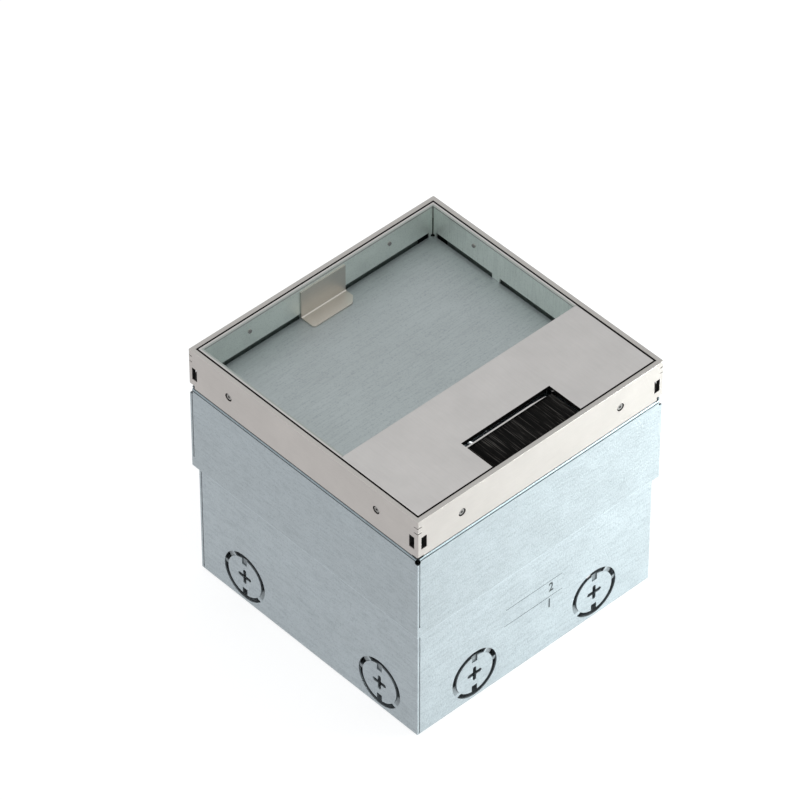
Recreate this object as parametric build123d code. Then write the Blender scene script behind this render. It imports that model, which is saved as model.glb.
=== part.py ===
from build123d import *
import math
import os

# Square floor socket box for a screed floor, in millimetres.
# Z is up, the origin is at the middle of the underside of the lower box,
# and the cable outlet is on the -Y side.

# Lower box
box_side = 193.9
box_height = 106.0
box_sheet = 1.5
box_bend = 2.0
corner_slit = 0.6
base_hole_radius = 3.25
base_hole_spacing = 140.0

# Knockouts in the side walls
knock_radius = 18.25
knock_slot = 3.4
knock_height = 21.5
knock_front_offset = 50.0
knock_left_low = -63.5
knock_left_high = 57.3
knock_web_turns = (46.0, 6.0, 203.0)
knock_web_widths = (8.0, 3.5, 9.5)
knock_web_recess = 0.6
knock_web_slope = 8.5
knock_cross = 11.6
knock_cross_width = 2.8
knock_notch_width = 4.4
knock_notch_depth = 4.8
knock_notch_recess = 0.8

# Height sleeve
sleeve_gap = 1.35
sleeve_sheet = 1.5
sleeve_bend = 2.0
sleeve_overlap = 17.4
sleeve_height = 66.4
sleeve_closed_band = 8.9
sleeve_foot_round = 0.35
sleeve_relief_radius = 1.8
sleeve_relief_drop = 3.5
sleeve_slit_end_radius = 0.6
sleeve_groove_drop = 2.2
sleeve_groove_height = 0.6
sleeve_groove_depth = 0.5
sleeve_corner_gap = 2.0
sleeve_corner_drop = 1.0
flange_width = 19.8
flange_corner = 5.5
drop_travel = 44.3
rise_travel = 4.0

# Straps that hold the sleeve at its height
strap_width = 16.0
strap_sheet = 1.5
strap_foot = 11.0
strap_gap = 0.3
strap_end_margin = 6.0
stud_radius = 2.5
stud_drop = 9.0
stud_length = 11.0
stud_fit = 0.03
nut_gap = 0.2
clamp_nut_radius = 5.0
clamp_nut_length = 4.5
clamp_flange_sheet = 1.2
clamp_hexagon_radius = 4.3

# Trim frame
frame_overhang = 0.2
frame_wall = 3.1
frame_height = 30.4
frame_round = 0.3
frame_corner_round = 0.8
shadow_gap_height = 0.8
shadow_gap_depth = 1.0
seal_inset = 0.15
seal_end_gap = 0.2
window_inset = 2.9
window_width = 4.4
window_base = 6.8
window_height = 9.6
notch_length = 4.9
notch_heights = (1.4, 3.2)
dash_length = 3.1
dash_depth = 0.8
dash_width = 0.6
dash_heights = (20.4, 24.9)
joint_corner_rise = 1.0
side_screw_offset = 64.5
side_screw_height = 15.3
side_hole_radius = 2.8
side_hole_depth = 2.0
side_head_radius = 2.0
side_head_length = 1.5
side_shank_radius = 1.5
side_shank_fit = 0.05
side_drive = 1.6

# Ledge, connectors and gasket inside the frame
ledge_sheet = 1.5
ledge_lift = 1.5
ledge_width = 16.5
ledge_leg_height = 16.5
ledge_leg_gap = 0.5
frame_fit = 0.05
connector_leg = 14.0
connector_sheet = 1.5
connector_height = 13.8
gasket_inset = 1.0
gasket_width = 4.2
gasket_thickness = 1.9

# Levelling screws and their nuts
level_inset = 10.0
level_radius = 2.45
level_length = 28.0
level_head_radius = 4.5
level_head_length = 1.6
level_slot_length = 12.0
level_slot_width = 1.0
level_slot_depth = 0.7
level_ledge_hole = 2.8
level_flange_hole = 2.9
level_nut_side = 9.0
level_nut_height = 4.0
level_nut_fit = 0.05
clip_radius = 4.0
clip_thickness = 0.8
clip_mouth = 2.4
seat_gap = 0.05
clip_gap = 0.2

# Lid
seam = 1.2
rim_sheet = 1.1
rim_lip = 1.0
tray_sheet = 1.2
tray_floor_sheet = 1.5
tray_depth = 23.9
rim_height = 11.4
plate_width = 66.0
plate_sheet = 3.0
plate_round = 0.3
outlet_left = -36.2
outlet_right = 35.2
outlet_depth = 26.7
bend_slot_height = 3.6
bend_slot_margin = 3.0
bridge_low = 34.2
bridge_high = 40.7
tray_relief_radius = 1.75
tray_corner_gap = 0.8
rivet_offset = 57.0
rivet_drop = 8.6
rivet_head_radius = 1.45
rivet_head_length = 0.8
rivet_shank_radius = 1.0

# Lifting tab in the tray
tab_left = -16.2
tab_right = 20.0
tab_sheet = 1.0
tab_reach = 12.4
tab_rise = 21.4
tab_big_chamfer = 4.8
tab_small_chamfer = 1.4
tab_bend = 1.0

# Brush in the outlet, and stiffeners under the plate
brush_drop = 1.6
brush_inset = 3.5
brush_leaf = 1.1
brush_height = 7.0
brush_jaw = 3.3
brush_ear = 9.0
brush_ear_sheet = 0.7
brush_taper = 11.0
brush_tip = 0.25
brush_notch = 5.6
brush_notch_end = 0.9
brush_notch_depth = 2.4
bristle_drop = 0.6
bristle_thickness = 2.6
bristle_end_gap = 0.9
stiffener_offset = 62.0
stiffener_sheet = 1.5
stiffener_leg = 8.0
stiffener_flange = 12.0

# Device carrier and its brackets
carrier_side = 112.0
carrier_depth = 112.0
carrier_sheet = 1.5
carrier_top = 51.0
carrier_corner = 4.0
bracket_foot = 14.0
bracket_top = 8.0
bracket_sheet = 1.5
bracket_depth = 100.0
carrier_screw_radius = 1.5
carrier_screw_head = 2.9
carrier_screw_head_length = 1.8
carrier_screw_reach = 2.0
carrier_screw_inset = 6.0
small_slot_width = 0.8
small_slot_depth = 0.7
small_slot_length = 8.0

# Socket inserts
socket_pitch = 52.0
socket_face = 46.0
socket_face_sheet = 2.5
socket_face_corner = 2.0
socket_cup_radius = 21.4
socket_cup_depth = 30.0
socket_cup_fit = 0.2
socket_bore_radius = 19.6
socket_bore_depth = 17.5
pin_spacing = 19.0
pin_hole_depth = 10.0
contact_radius = 2.7
contact_bore = 2.4
contact_fit = 0.1
clip_slot_width = 5.0
clip_slot_depth = 1.2
earth_clip_width = 4.4
earth_clip_sheet = 0.8
earth_clip_height = 12.0
earth_clip_gap = 0.1
earth_clip_lip = 2.4
earth_clip_lip_drop = 4.0
contact_drop = 1.5
centre_screw_head = 2.6
centre_screw_head_length = 1.6
centre_screw_radius = 1.4
centre_screw_length = 8.0

# Terminal block, earth stud and cable clamps
block_inset = 18.45
block_width = 14.0
block_length = 60.0
block_height = 15.0
block_poles = 5
block_pitch = 11.0
block_hole_radius = 1.9
block_hole_height = 6.0
block_well_depth = 6.0
block_screw_radius = 2.0
block_screw_fit = 0.1
block_screw_sink = 1.5
earth_inset_x = 19.45
earth_inset_y = 37.45
earth_radius = 3.0
earth_length = 18.0
earth_washer_radius = 6.0
earth_washer_sheet = 1.6
earth_nut_flats = 10.0
earth_nut_height = 5.0
saddle_inner = 7.0
saddle_sheet = 2.0
saddle_width = 10.0
saddle_foot = 8.0
saddle_inset = 21.45
saddle_screw_radius = 1.6
saddle_screw_head = 3.0
saddle_screw_head_length = 2.0

# Places worked out from the sizes above
box_half = box_side / 2
box_inner = box_half - box_sheet
stud_height = box_height - stud_drop
sleeve_inner = box_half + sleeve_gap
sleeve_half = sleeve_inner + sleeve_sheet
sleeve_bottom = box_height - sleeve_overlap
sleeve_top = sleeve_bottom + sleeve_height
flange_edge = sleeve_half - flange_width
flange_under = sleeve_top - sleeve_sheet
frame_half = sleeve_half + frame_overhang
frame_inner = frame_half - frame_wall
frame_bottom = sleeve_top
frame_top = frame_bottom + frame_height
ledge_bottom = frame_bottom + ledge_lift
ledge_top = ledge_bottom + ledge_sheet
ledge_outer = frame_inner - frame_fit
ledge_edge = ledge_outer - ledge_width
level_place = frame_half - level_inset
lid_half = frame_inner - seam
tray_outer = lid_half - rim_sheet
tray_inner = tray_outer - tray_sheet
tray_floor = frame_top - tray_depth
tray_under = tray_floor - tray_floor_sheet
plate_under = frame_top - plate_sheet
plate_edge = -lid_half + plate_width
outlet_back = -lid_half + outlet_depth
brush_back = outlet_back - brush_inset + brush_leaf / 2
brush_front = brush_back - brush_leaf
brush_top = frame_top - brush_drop
bristle_top = brush_top - bristle_drop
bristle_under = bristle_top - bristle_thickness
block_x = -box_inner + block_inset
earth_x = box_inner - earth_inset_x
earth_y = box_inner - earth_inset_y
saddle_y = -box_inner + saddle_inset
carrier_under = carrier_top - carrier_sheet
socket_face_top = carrier_top + socket_face_sheet
socket_floor = socket_face_top - socket_bore_depth
side_screw_z = frame_bottom + side_screw_height


def block(x0, x1, y0, y1, z0, z1):
    """A box between two corners, given in either order."""
    place = Pos((x0 + x1) / 2, (y0 + y1) / 2, (z0 + z1) / 2)
    return place * Box(abs(x1 - x0), abs(y1 - y0), abs(z1 - z0))


def square(half, z0, z1):
    """A square block centred on the origin in plan."""
    return block(-half, half, -half, half, z0, z1)


def ring(outer, inner, z0, z1):
    """A square ring."""
    return square(outer, z0, z1) - square(inner, z0 - 1, z1 + 1)


def rod(x, y, z0, z1, radius):
    """An upright cylinder."""
    return Pos(x, y, (z0 + z1) / 2) * Cylinder(radius, z1 - z0)


def rod_y(x, y0, y1, z, radius):
    """A cylinder along Y."""
    return Pos(x, (y0 + y1) / 2, z) * Rot(90, 0, 0) * Cylinder(radius, abs(y1 - y0))


def quarter_turns(shape):
    """The shape on all four sides."""
    return [Rot(0, 0, 90 * i) * shape for i in range(4)]


def corners(place):
    """The four corner points at this distance from both axes."""
    return [(place, place), (-place, place), (-place, -place), (place, -place)]


def corner_cut(place, width, length, z0, z1):
    """Four upright diagonal cuts, one through each corner."""
    cuts = []
    for i in range(4):
        upright = Pos(0, 0, (z0 + z1) / 2) * Rot(0, 0, 45 + 90 * i)
        cuts.append(upright * Pos(place * math.sqrt(2), 0, 0) * Box(length, width, z1 - z0))
    return cuts


def outer_edges_at(shape, z, half):
    """The straight outer edges of a square shape at one height."""
    found = []
    for edge in shape.edges():
        middle = edge.center()
        reach = max(abs(middle.X), abs(middle.Y))
        if abs(middle.Z - z) < 0.01 and abs(reach - half) < 0.01:
            found.append(edge)
    return found


def upright_edges_at(shape, x, y):
    """The upright edges of a shape at one point in plan."""
    found = []
    for edge in shape.edges().filter_by(Axis.Z):
        middle = edge.center()
        if abs(middle.X - x) < 0.01 and abs(middle.Y - y) < 0.01:
            found.append(edge)
    return found


def small_slot(x, y, top):
    """The cut of a driver slot in a small screw head."""
    return Pos(x, y, top) * Box(small_slot_length, small_slot_width, 2 * small_slot_depth)


def write(name, shape):
    """Save one sub-part, as one solid or a group of separate solids."""
    if isinstance(shape, list):
        shape = Compound(children=[piece.solid() for piece in shape])
    shape.label = name
    export_step(shape, "parts/" + name + ".step")


def knockout(x):
    """The cuts of one knockout on the -Y wall: ring, sunk webs, cross and notches."""
    inner = knock_radius - knock_slot
    middle = Pos(x, -box_half, knock_height)
    flat = middle * Rot(90, 0, 0)
    annulus = flat * (Cylinder(knock_radius, 4 * box_sheet) - Cylinder(inner, 5 * box_sheet))
    slot = annulus
    cuts = []
    for turn, width in zip(knock_web_turns, knock_web_widths):
        spoke = middle * Rot(0, -turn, 0) * Pos(inner + knock_slot / 2, 0, 0)
        web = annulus & spoke * Box(2 * knock_slot, 4 * box_sheet, width)
        dent = Pos(0, knock_web_recess - box_sheet, 0) * Box(3 * knock_slot, 2 * box_sheet, 2 * width)
        slot -= web
        cuts.append(web & spoke * Rot(knock_web_slope, 0, 0) * dent)
    cuts.append(slot)
    for turn in (0, 90):
        arm = Rot(0, 0, turn) * SlotOverall(knock_cross, knock_cross_width)
        cuts.append(extrude(flat * arm, 2 * box_sheet, both=True))
    notch = Box(knock_notch_width, 4 * box_sheet, knock_notch_depth + knock_slot / 2)
    notch_place = inner - knock_notch_depth / 2 + knock_slot / 4
    cuts.append(middle * Pos(0, 0, -notch_place) * notch)
    cuts.append(middle * Pos(0, knock_notch_recess - 2 * box_sheet, notch_place) * notch)
    return cuts


def butt_joints(half, inner, z0, z1):
    """Four fine gaps, each where one wall ends against the sheet of the next."""
    return quarter_turns(block(-inner, -inner + corner_slit, -half - 1, -inner, z0, z1))


def lower_box():
    """Folded sheet box, open at the top, with butted corners and knockouts."""
    shell = square(box_half, 0, box_height)
    shell = fillet(outer_edges_at(shell, 0, box_half), box_bend)
    shell -= square(box_inner, box_sheet, box_height + 1)
    shell -= butt_joints(box_half, box_inner, -1, box_height + 1)
    swapped = Plane(origin=(0, 0, 0), z_dir=(1, -1, 0))
    cuts = knockout(-knock_front_offset) + knockout(knock_front_offset)
    for place in (knock_left_low, knock_left_high):
        cuts += [mirror(cut, about=swapped) for cut in knockout(place)]
    for cut in cuts:
        shell -= cut
        shell -= Rot(0, 0, 180) * cut
    for x, y in corners(base_hole_spacing / 2):
        shell -= rod(x, y, -1, box_sheet + 1, base_hole_radius)
    shell -= quarter_turns(rod_y(0, -box_half - 1, -box_inner + 1, stud_height, stud_radius + stud_fit))
    return shell


def height_sleeve():
    """Collar round the lower box, with a flange turned in at the top."""
    shell = square(sleeve_half, sleeve_bottom, sleeve_top)
    shell = fillet(outer_edges_at(shell, sleeve_top, sleeve_half), sleeve_bend)
    shell = fillet(outer_edges_at(shell, sleeve_bottom, sleeve_half), sleeve_foot_round)
    core = square(sleeve_inner, sleeve_bottom - 1, flange_under)
    core = fillet(outer_edges_at(core, flange_under, sleeve_inner), sleeve_bend - sleeve_sheet)
    shell -= core
    shell -= square(flange_edge, flange_under - 1, sleeve_top + 1)
    groove = sleeve_top - sleeve_groove_drop
    shell -= ring(sleeve_half + 1, sleeve_half - sleeve_groove_depth, groove - sleeve_groove_height, groove)
    slit_foot = sleeve_bottom + sleeve_closed_band
    slit_head = sleeve_top - sleeve_relief_drop
    shell -= butt_joints(sleeve_half, sleeve_inner, slit_foot, slit_head)
    shell -= quarter_turns(rod_y(-sleeve_inner + corner_slit / 2, -sleeve_half - 1, -sleeve_inner,
                                 slit_foot, sleeve_slit_end_radius))
    for i in range(4):
        turn = Rot(0, 0, 45 + 90 * i)
        hole = Pos(sleeve_half * math.sqrt(2) - 1, 0, slit_head) * Rot(0, 60, 0)
        shell -= turn * hole * Cylinder(sleeve_relief_radius, 14)
    for x, y in corners(level_place):
        shell -= rod(x, y, flange_under - 1, sleeve_top + 1, level_flange_hole)
    end = sleeve_half + 1
    head = sleeve_top + 1
    corner = sleeve_inner - flange_corner
    notch = sleeve_half - notch_length
    gap = sleeve_half - sleeve_corner_gap
    shell -= quarter_turns(block(corner, sleeve_inner, corner, sleeve_inner, flange_under - 1, head))
    shell -= quarter_turns(block(notch, end, notch, end, sleeve_top - sleeve_corner_drop, head))
    shell -= quarter_turns(block(gap, end, gap, end, slit_head, head))
    return shell


def height_strap():
    """Slotted strap on the -Y side, hung from the flange of the sleeve."""
    outer = -(box_inner - strap_gap)
    inner = outer + strap_sheet
    slot_foot = stud_height - stud_radius - rise_travel - strap_gap
    slot_head = stud_height + stud_radius + drop_travel + strap_gap
    slot_half = stud_radius + strap_gap
    half = strap_width / 2
    strap = block(-half, half, outer, inner, slot_foot - strap_end_margin, flange_under)
    strap += block(-half, half, inner, inner + strap_foot, flange_under - strap_sheet, flange_under)
    slot = block(-slot_half, slot_half, outer - 1, inner + 1, slot_foot + slot_half, slot_head - slot_half)
    slot += rod_y(0, outer - 1, inner + 1, slot_foot + slot_half, slot_half)
    slot += rod_y(0, outer - 1, inner + 1, slot_head - slot_half, slot_half)
    return strap - slot


def clamp_stud():
    """Stud pressed into the -Y wall of the lower box."""
    return rod_y(0, -box_half, -box_half + stud_length, stud_height, stud_radius)


def clamp_nut():
    """Flanged nut that clamps the strap on the -Y side."""
    face = -(box_inner - strap_gap - strap_sheet - nut_gap)
    step = face + clamp_flange_sheet
    flange = rod_y(0, face, step, stud_height, clamp_nut_radius)
    hexagon = Pos(0, step, stud_height) * Rot(-90, 0, 0) * RegularPolygon(clamp_hexagon_radius, 6)
    body = extrude(hexagon, clamp_nut_length - clamp_flange_sheet)
    bore = rod_y(0, face - 1, face + clamp_nut_length + 1, stud_height, stud_radius + stud_fit)
    return flange + body - bore


def corner_marks(rise, notch_height):
    """Window, notch and dashes on the -Y wall beside the -X -Y corner of the frame."""
    outside = -frame_half - 1
    inside = -frame_inner + 1
    near = -frame_half + window_inset
    window_z = frame_bottom + window_base + rise
    marks = [
        block(near, near + window_width, outside, inside, window_z, window_z + window_height),
        block(outside, -frame_half + notch_length, outside, inside, frame_bottom - 1,
              frame_bottom + notch_height),
    ]
    for height in dash_heights:
        z = frame_bottom + height + rise
        marks.append(block(outside, -frame_half + dash_length, outside, -frame_half + dash_depth,
                           z, z + dash_width))
    return marks


def trim_frame():
    """Stainless frame with corner windows, notches, side screw holes and a shadow gap."""
    frame = square(frame_half, frame_bottom, frame_top)
    frame = fillet(frame.edges().filter_by(Axis.Z), frame_corner_round)
    frame = fillet(frame.faces().sort_by(Axis.Z)[-1].edges(), frame_round)
    frame -= square(frame_inner, frame_bottom - 1, frame_top + 1)
    frame -= ring(frame_half + 1, frame_half - shadow_gap_depth, frame_bottom - 1,
                  frame_bottom + shadow_gap_height)
    swapped = Plane(origin=(0, 0, 0), z_dir=(1, -1, 0))
    for i in range(4):
        rise = joint_corner_rise * (i % 2)
        for mark in corner_marks(rise, notch_heights[i % 2]):
            frame -= Rot(0, 0, 90 * i) * mark
            frame -= Rot(0, 0, 90 * i) * mirror(mark, about=swapped)
    for x in (-side_screw_offset, side_screw_offset):
        recess = rod_y(x, -frame_half - 1, -frame_half + side_hole_depth, side_screw_z, side_hole_radius)
        hole = rod_y(x, -frame_half - 1, -frame_inner + 1, side_screw_z, side_shank_radius + side_shank_fit)
        frame -= quarter_turns(recess) + quarter_turns(hole)
    return frame


def frame_seal():
    """Dark strips in the shadow gap under the frame, one on each side."""
    reach = frame_half - notch_length - seal_end_gap
    strip = block(-reach, reach, -frame_half + seal_inset, -frame_half + shadow_gap_depth,
                  frame_bottom, frame_bottom + shadow_gap_height)
    return quarter_turns(strip)


def support_ledge():
    """Angle ring under the lid, with upright legs inside the walls of the frame."""
    ledge = ring(ledge_outer, ledge_edge, ledge_bottom, ledge_top)
    reach = ledge_outer - connector_leg - ledge_leg_gap
    leg = block(-reach, reach, -ledge_outer, -ledge_outer + ledge_sheet,
                ledge_bottom, ledge_bottom + ledge_leg_height)
    for turned in quarter_turns(leg):
        ledge += turned
    hole_radius = side_shank_radius + side_shank_fit
    for side in (-1, 1):
        hole = rod_y(side * side_screw_offset, -frame_half, -ledge_outer + ledge_sheet + 1,
                     side_screw_z, hole_radius)
        ledge -= quarter_turns(hole)
    for x, y in corners(level_place):
        ledge -= rod(x, y, ledge_bottom - 1, ledge_top + 1, level_ledge_hole)
    return ledge


def side_screws():
    """Screws that hold the ledge in the frame, two on each side."""
    seat = -frame_half + side_hole_depth
    tip = -ledge_outer + ledge_sheet
    found = []
    for side in (-1, 1):
        x = side * side_screw_offset
        screw = rod_y(x, seat - side_head_length, seat, side_screw_z, side_head_radius)
        screw += rod_y(x, seat, tip, side_screw_z, side_shank_radius)
        drive = Box(side_drive, side_drive, side_drive)
        screw -= Pos(x, seat - side_head_length, side_screw_z) * drive
        found += quarter_turns(screw)
    return found


def corner_connectors():
    """Angle pieces inside the corners of the frame."""
    outer = ledge_outer
    inner = outer - connector_sheet
    z0 = ledge_top + seat_gap
    z1 = z0 + connector_height
    angle = block(outer - connector_leg, outer, outer - connector_leg, outer, z0, z1)
    angle -= block(outer - connector_leg - 1, inner, outer - connector_leg - 1, inner, z0 - 1, z1 + 1)
    return quarter_turns(angle)


def ledge_gasket():
    """Foam seal between the ledge and the lid."""
    inner = ledge_edge + gasket_inset
    return ring(inner + gasket_width, inner, ledge_top, ledge_top + gasket_thickness)


def levelling_screw(x, y):
    """Slotted screw with a thin head, captive in the ledge."""
    seat = ledge_top + seat_gap
    screw = rod(x, y, seat - level_length, seat, level_radius)
    screw += rod(x, y, seat, seat + level_head_length, level_head_radius)
    slot = Box(level_slot_length, level_slot_width, 2 * level_slot_depth)
    return screw - Pos(x, y, seat + level_head_length) * slot


def retaining_clip(x, y):
    """Open clip on the screw under the ledge."""
    z1 = ledge_bottom - clip_gap
    z0 = z1 - clip_thickness
    clip = rod(x, y, z0, z1, clip_radius) - rod(x, y, z0 - 1, z1 + 1, level_radius + stud_fit)
    return clip - block(x, x + clip_radius + 1, y - clip_mouth / 2, y + clip_mouth / 2, z0 - 1, z1 + 1)


def flange_nuts():
    """Square nuts welded under the flange of the sleeve."""
    half = level_nut_side / 2
    found = []
    for x, y in corners(level_place):
        nut = block(x - half, x + half, y - half, y + half, flange_under - level_nut_height, flange_under)
        found.append(nut - rod(x, y, flange_under - level_nut_height - 1, flange_under + 1,
                               level_radius + level_nut_fit))
    return found


def under_plate(above):
    """The space that the cover plate takes from the lid's other pieces."""
    return block(-lid_half - 1, lid_half + 1, -lid_half - 1, plate_edge, above, frame_top + 1)


def rivet_places():
    """Rivets on the -Y wall, which are then turned to the other walls."""
    return [(side * rivet_offset, frame_top - rivet_drop) for side in (-1, 1)]


def lid_tray():
    """Folded pan for the floor covering, with an open cable chamber in front."""
    tray = ring(tray_outer, tray_inner, tray_under, frame_top - rim_lip)
    tray += block(-tray_outer, tray_outer, plate_edge - tray_sheet, tray_outer, tray_under, tray_floor)
    tray += block(-tray_outer, tray_outer, plate_edge - tray_sheet, plate_edge, tray_under, plate_under)
    tray -= under_plate(plate_under)
    reach = tray_inner - bend_slot_margin
    slot_z0 = tray_under - 1
    slot_z1 = tray_floor + bend_slot_height
    slots = [
        (-reach, tab_left, "back"),
        (tab_right, reach, "back"),
        (bridge_high, reach, "side"),
        (plate_edge + bend_slot_margin, bridge_low, "side"),
    ]
    for low, high, wall in slots:
        if wall == "back":
            tray -= block(low, high, tray_inner - 0.01, tray_outer + 1, slot_z0, slot_z1)
        else:
            tray -= block(tray_inner - 0.01, tray_outer + 1, low, high, slot_z0, slot_z1)
            tray -= block(-tray_outer - 1, -tray_inner + 0.01, low, high, slot_z0, slot_z1)
    tray -= corner_cut(tray_inner, tray_corner_gap, 5, tray_floor, frame_top + 1)
    for side in (-1, 1):
        tray -= rod(side * tray_inner, tray_inner, tray_under - 1, tray_floor + 1, tray_relief_radius)
    tray -= block(outlet_left, outlet_right, -tray_outer - 1, -tray_inner + 1, tray_floor, frame_top)
    for x, z in rivet_places():
        tray -= quarter_turns(rod_y(x, -tray_outer - 1, -tray_inner + 1, z, rivet_shank_radius + stud_fit))
    return tray


def lid_rim():
    """Stainless edge round the tray, with a lip over the top of its walls."""
    z0 = frame_top - rim_height
    rim = ring(lid_half, tray_outer, z0, frame_top)
    rim += ring(lid_half, tray_inner, frame_top - rim_lip, frame_top)
    rim -= under_plate(plate_under)
    rim -= block(outlet_left, outlet_right, -lid_half - 1, -tray_outer + 1, z0 - 1, frame_top)
    for x, z in rivet_places():
        rim -= quarter_turns(rod_y(x, -lid_half - 1, -tray_outer + 1, z, rivet_shank_radius + stud_fit))
    return rim


def rim_rivets():
    """Rivets that hold the rim on the tray."""
    found = []
    for x, z in rivet_places():
        rivet = rod_y(x, -lid_half + seat_gap, -tray_inner, z, rivet_shank_radius)
        head = Rot(-90, 0, 0) * RegularPolygon(rivet_head_radius, 6)
        rivet += extrude(Pos(x, -tray_inner, z) * head, rivet_head_length)
        found += quarter_turns(rivet)
    return found


def cover_plate():
    """Flat stainless plate with the cable outlet cut in from the front edge."""
    plate = block(-lid_half, lid_half, -lid_half, plate_edge, plate_under, frame_top)
    plate -= block(outlet_left, outlet_right, -lid_half - 1, outlet_back, plate_under - 1, frame_top + 1)
    return fillet(plate.faces().sort_by(Axis.Z)[-1].edges(), plate_round)


def plate_stiffeners():
    """Two angles under the cover plate."""
    front = -tray_inner + seat_gap
    back = plate_edge - tray_sheet - seat_gap
    found = []
    for side in (-1, 1):
        leg = side * stiffener_offset
        bar = block(leg - stiffener_flange / 2, leg + stiffener_flange / 2, front, back,
                    plate_under - stiffener_sheet, plate_under)
        bar += block(leg - stiffener_sheet / 2, leg + stiffener_sheet / 2, front, back,
                     plate_under - stiffener_leg, plate_under - stiffener_sheet)
        found.append(bar)
    return found


def brush_holder():
    """Thin strip across the outlet, with a jaw for the bristles and ears to the plate."""
    foot = brush_top - brush_height
    jaw = brush_front - brush_jaw
    holder = block(outlet_left, outlet_right, brush_front, brush_back, foot, brush_top)
    notch_right = outlet_right - brush_notch_end
    notch_left = notch_right - brush_notch
    notch_z = brush_top - brush_notch_depth
    holder -= block(notch_left, notch_right, brush_front - 1, brush_back + 1, notch_z, brush_top + 1)
    wedge = Polygon((notch_left - brush_taper, brush_back), (notch_left, brush_front + brush_tip),
                    (notch_left, brush_back), align=None)
    holder -= extrude(Pos(0, 0, notch_z) * wedge, brush_notch_depth + 1)
    holder += block(outlet_left, outlet_right, jaw, brush_front, foot, bristle_under)
    for x0, x1 in ((outlet_left - brush_ear, outlet_left), (outlet_right, outlet_right + brush_ear)):
        holder += block(x0, x1, jaw, brush_back, plate_under - brush_ear_sheet, plate_under)
    return holder


def brush_bristles():
    """The tuft of bristles, as one closed body."""
    return block(outlet_left + bristle_end_gap, outlet_right - bristle_end_gap,
                 -lid_half + bristle_end_gap, brush_front, bristle_under, bristle_top)


def lifting_tab():
    """Bent strip in the tray, up the back wall and along the floor."""
    back = tray_inner
    front = back - tab_reach
    floor = block(tab_left, tab_right, front, back, tray_floor, tray_floor + tab_sheet)
    wall = block(tab_left, tab_right, back - tab_sheet, back, tray_floor, tray_floor + tab_rise)
    tab = floor + wall
    for x, size in ((tab_right, tab_big_chamfer), (tab_left, tab_small_chamfer)):
        tab = chamfer(upright_edges_at(tab, x, front), size)
    along = tab.edges().filter_by(Axis.X)
    bend = along.filter_by_position(Axis.Y, back - tab_sheet - 0.01, back - tab_sheet + 0.01)
    return fillet(bend.sort_by(Axis.Z)[0], tab_bend)


def socket_places():
    """Centres of the four socket inserts."""
    half = socket_pitch / 2
    return [(-half, -half), (half, -half), (-half, half), (half, half)]


def device_carrier():
    """Plate with a round hole for each socket insert."""
    half_x = carrier_side / 2
    half_y = carrier_depth / 2
    plate = block(-half_x, half_x, -half_y, half_y, carrier_under, carrier_top)
    plate = fillet(plate.edges().filter_by(Axis.Z), carrier_corner)
    for x, y in socket_places():
        plate -= rod(x, y, carrier_under - 1, carrier_top + 1, socket_cup_radius + socket_cup_fit)
    for x, y in carrier_screw_places():
        plate -= rod(x, y, carrier_under - 1, carrier_top + 1, carrier_screw_radius + stud_fit)
    return plate


def carrier_screw_places():
    """Screws through the carrier into its brackets."""
    x = carrier_side / 2 - bracket_top / 2
    y = bracket_depth / 2 - carrier_screw_inset
    return [(-x, -y), (x, -y), (-x, y), (x, y)]


def carrier_bracket(side):
    """Folded bracket from the base of the box up to the carrier."""
    inner = carrier_side / 2
    half = bracket_depth / 2
    wall = (side * (inner - bracket_sheet), side * inner)
    foot = (side * (inner - bracket_foot), side * inner)
    top = (side * (inner - bracket_top), side * inner)
    bracket = block(min(wall), max(wall), -half, half, box_sheet, carrier_under)
    bracket += block(min(foot), max(foot), -half, half, box_sheet, box_sheet + bracket_sheet)
    bracket += block(min(top), max(top), -half, half, carrier_under - bracket_sheet, carrier_under)
    for x, y in socket_places():
        clear = socket_cup_radius + socket_cup_fit + 0.3
        bracket -= rod(x, y, socket_face_top - socket_cup_depth - 5, carrier_under + 1, clear)
    for x, y in carrier_screw_places():
        bracket -= rod(x, y, carrier_under - bracket_sheet - 1, carrier_under + 1,
                       carrier_screw_radius + stud_fit)
    return bracket


def carrier_screws():
    """Pan-head screws of the carrier."""
    found = []
    head_top = carrier_top + carrier_screw_head_length
    for x, y in carrier_screw_places():
        screw = rod(x, y, carrier_under - bracket_sheet - carrier_screw_reach, carrier_top, carrier_screw_radius)
        screw += rod(x, y, carrier_top, head_top, carrier_screw_head)
        found.append(screw - small_slot(x, y, head_top))
    return found


def socket_insert(x, y):
    """Socket body with a deep round recess, pin holes and earth clip slots."""
    body = Box(socket_face, socket_face, socket_face_sheet)
    body = fillet(body.edges().filter_by(Axis.Z), socket_face_corner)
    body = Pos(x, y, carrier_top + socket_face_sheet / 2) * body
    foot = socket_face_top - socket_cup_depth
    body += rod(x, y, foot, carrier_top, socket_cup_radius)
    body -= rod(x, y, socket_floor, socket_face_top + 1, socket_bore_radius)
    for side in (-1, 1):
        hole_x = x + side * pin_spacing / 2
        body -= rod(hole_x, y, socket_floor - pin_hole_depth, socket_floor + 1,
                    contact_radius + contact_fit)
        slot_y0 = y + side * (socket_bore_radius - 1)
        slot_y1 = y + side * (socket_bore_radius + clip_slot_depth)
        body -= block(x - clip_slot_width / 2, x + clip_slot_width / 2, min(slot_y0, slot_y1),
                      max(slot_y0, slot_y1), socket_floor, socket_face_top - 2)
    return body - rod(x, y, socket_floor - centre_screw_length, socket_floor + 1,
                      centre_screw_radius + stud_fit)


def socket_contacts(x, y):
    """Two brass contact tubes in the pin holes."""
    z0 = socket_floor - pin_hole_depth
    z1 = socket_floor - contact_drop
    found = []
    for side in (-1, 1):
        hole_x = x + side * pin_spacing / 2
        found.append(rod(hole_x, y, z0, z1, contact_radius) - rod(hole_x, y, z0 + 1, z1 + 1, contact_bore))
    return found


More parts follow.
